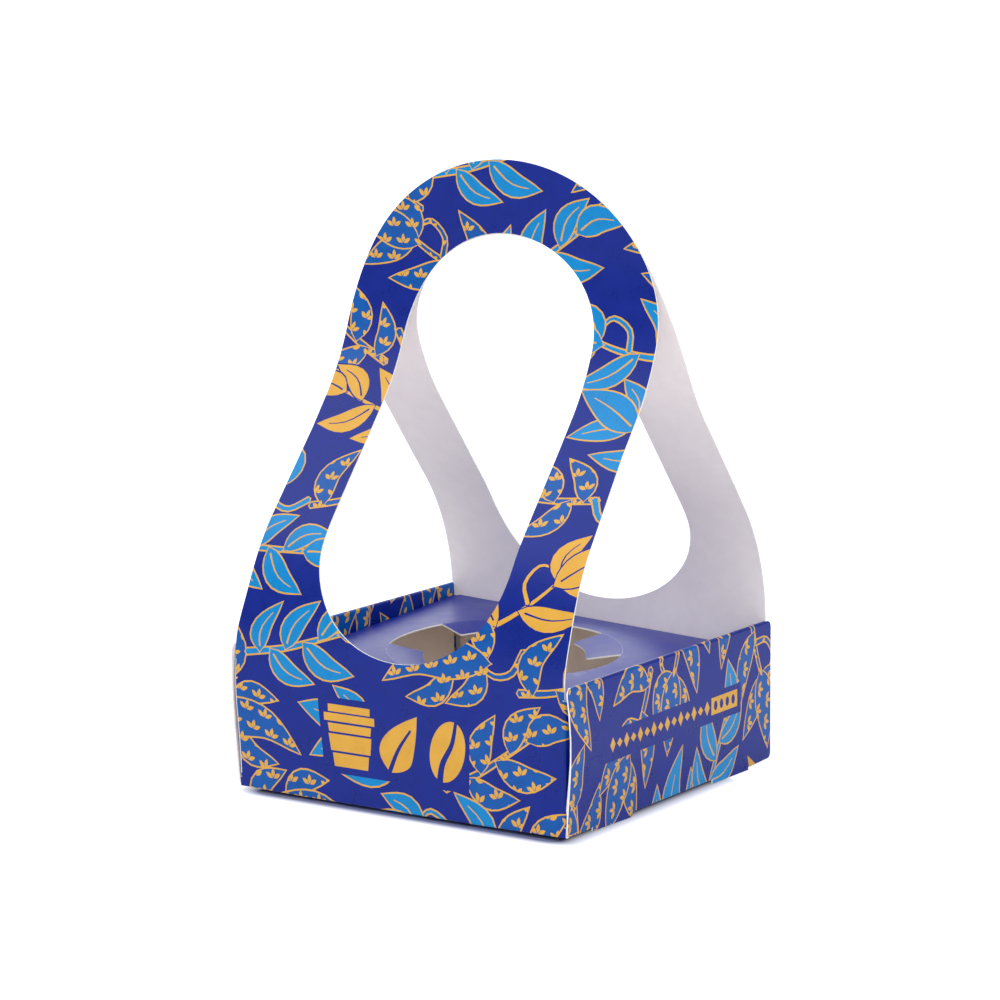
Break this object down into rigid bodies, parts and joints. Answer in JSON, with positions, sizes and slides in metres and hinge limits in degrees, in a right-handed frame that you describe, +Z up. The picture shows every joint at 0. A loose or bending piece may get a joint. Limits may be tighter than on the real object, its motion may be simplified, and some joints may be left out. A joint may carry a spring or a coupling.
{
  "type": "cardboard cup carrier",
  "caption": "Folded board carrier for a take-away cup: square tray, round cup hole with holding flaps, and two arched handles that meet at the top.",
  "frame": {"origin": "on the ground under the middle of the tray, level with the ends of the feet", "axes": "+Z up, +X to the right across the front wall, -Y out of the front wall"},
  "size_m": [0.1506, 0.146, 0.239],
  "materials": {
    "printed_board": "indigo print with a satin varnish on solid board",
    "plain_board": "plain indigo print with a satin varnish on solid board"
  },
  "bodies": {
    "root": {"carrier_sheet": "printed_board", "cup_insert": "plain_board"}
  },
  "joints": []
}
